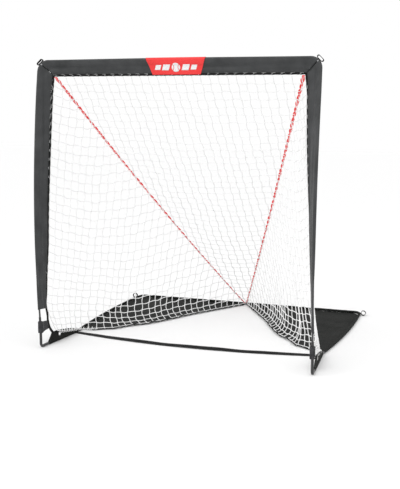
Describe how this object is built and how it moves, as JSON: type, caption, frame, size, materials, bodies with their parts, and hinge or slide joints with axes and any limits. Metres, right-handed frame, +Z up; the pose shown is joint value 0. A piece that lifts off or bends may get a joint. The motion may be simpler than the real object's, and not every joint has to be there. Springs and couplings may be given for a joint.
{
  "type": "folding goal net",
  "caption": "Goal-shaped target net: sprung rod frame in fabric sleeves, pyramid net, ground base with fabric wings; the front frame folds back.",
  "frame": {"origin": "on the ground, under the middle of the goal's whole footprint", "axes": "+Z up, +Y from the goal's mouth towards its back, +X to the right as seen from in front of the mouth"},
  "size_m": [1.2926, 1.1526, 1.2609],
  "materials": {
    "sleeve_fabric": "charcoal woven polyester, slight sheen",
    "ground_fabric": "black coated oxford weave",
    "webbing": "black ribbed webbing",
    "wrap_fabric": "dark grey hook-and-loop strap",
    "header_fabric": "bright red woven patch",
    "seam_ribbon": "red binding ribbon",
    "net_twine": "white knotless twine",
    "rod_fibreglass": "black pultruded fibreglass, satin",
    "tube_paint": "satin black powder coat",
    "zinc_steel": "zinc plated",
    "eyelet_metal": "black nickel"
  },
  "bodies": {
    "base": {"corner_tube_left": "tube_paint", "corner_tube_right": "tube_paint", "hinge_fork_left": "zinc_steel", "hinge_fork_right": "zinc_steel", "hinge_pin_left": "zinc_steel", "hinge_pin_right": "zinc_steel", "side_rod_left": "rod_fibreglass", "side_rod_right": "rod_fibreglass", "back_elbow_left": "zinc_steel", "back_elbow_right": "zinc_steel", "back_rod": "rod_fibreglass", "ground_strap": "webbing", "gusset_left": "ground_fabric", "gusset_right": "ground_fabric", "gusset_eyelet_left": "eyelet_metal", "gusset_eyelet_right": "eyelet_metal", "side_hem_left": "ground_fabric", "side_hem_right": "ground_fabric", "back_hem": "ground_fabric", "ground_wing_left": "ground_fabric", "ground_wing_right": "ground_fabric", "back_loop_left": "webbing", "back_loop_right": "webbing", "edge_strap_left": "webbing", "edge_strap_right": "webbing", "rod_wrap_left": "wrap_fabric", "rod_wrap_right": "wrap_fabric", "net_left": "net_twine", "net_right": "net_twine", "net_back": "net_twine", "seam_ribbon_left": "seam_ribbon", "seam_ribbon_right": "seam_ribbon"},
    "front_frame": {"hinge_ferrule_left": "zinc_steel", "hinge_ferrule_right": "zinc_steel", "upright_rod_left": "rod_fibreglass", "upright_rod_right": "rod_fibreglass", "top_elbow_left": "zinc_steel", "top_elbow_right": "zinc_steel", "top_rod": "rod_fibreglass", "sleeve_left": "sleeve_fabric", "sleeve_right": "sleeve_fabric", "sleeve_top": "sleeve_fabric", "hem_tape_left": "webbing", "hem_tape_right": "webbing", "hem_tape_top": "webbing", "header_patch": "header_fabric", "top_loop_left": "webbing", "top_loop_right": "webbing"}
  },
  "joints": [
    {"name": "front_fold", "type": "hinge", "parent": "base", "child": "front_frame", "pos_m": [0, -0.55197, 0.095], "axis": [-1, 0, 0], "range_deg": [0, 90], "deforming": ["net_left", "net_right", "net_back", "seam_ribbon_left", "seam_ribbon_right", "edge_strap_left", "edge_strap_right", "rod_wrap_left", "rod_wrap_right"]}
  ]
}
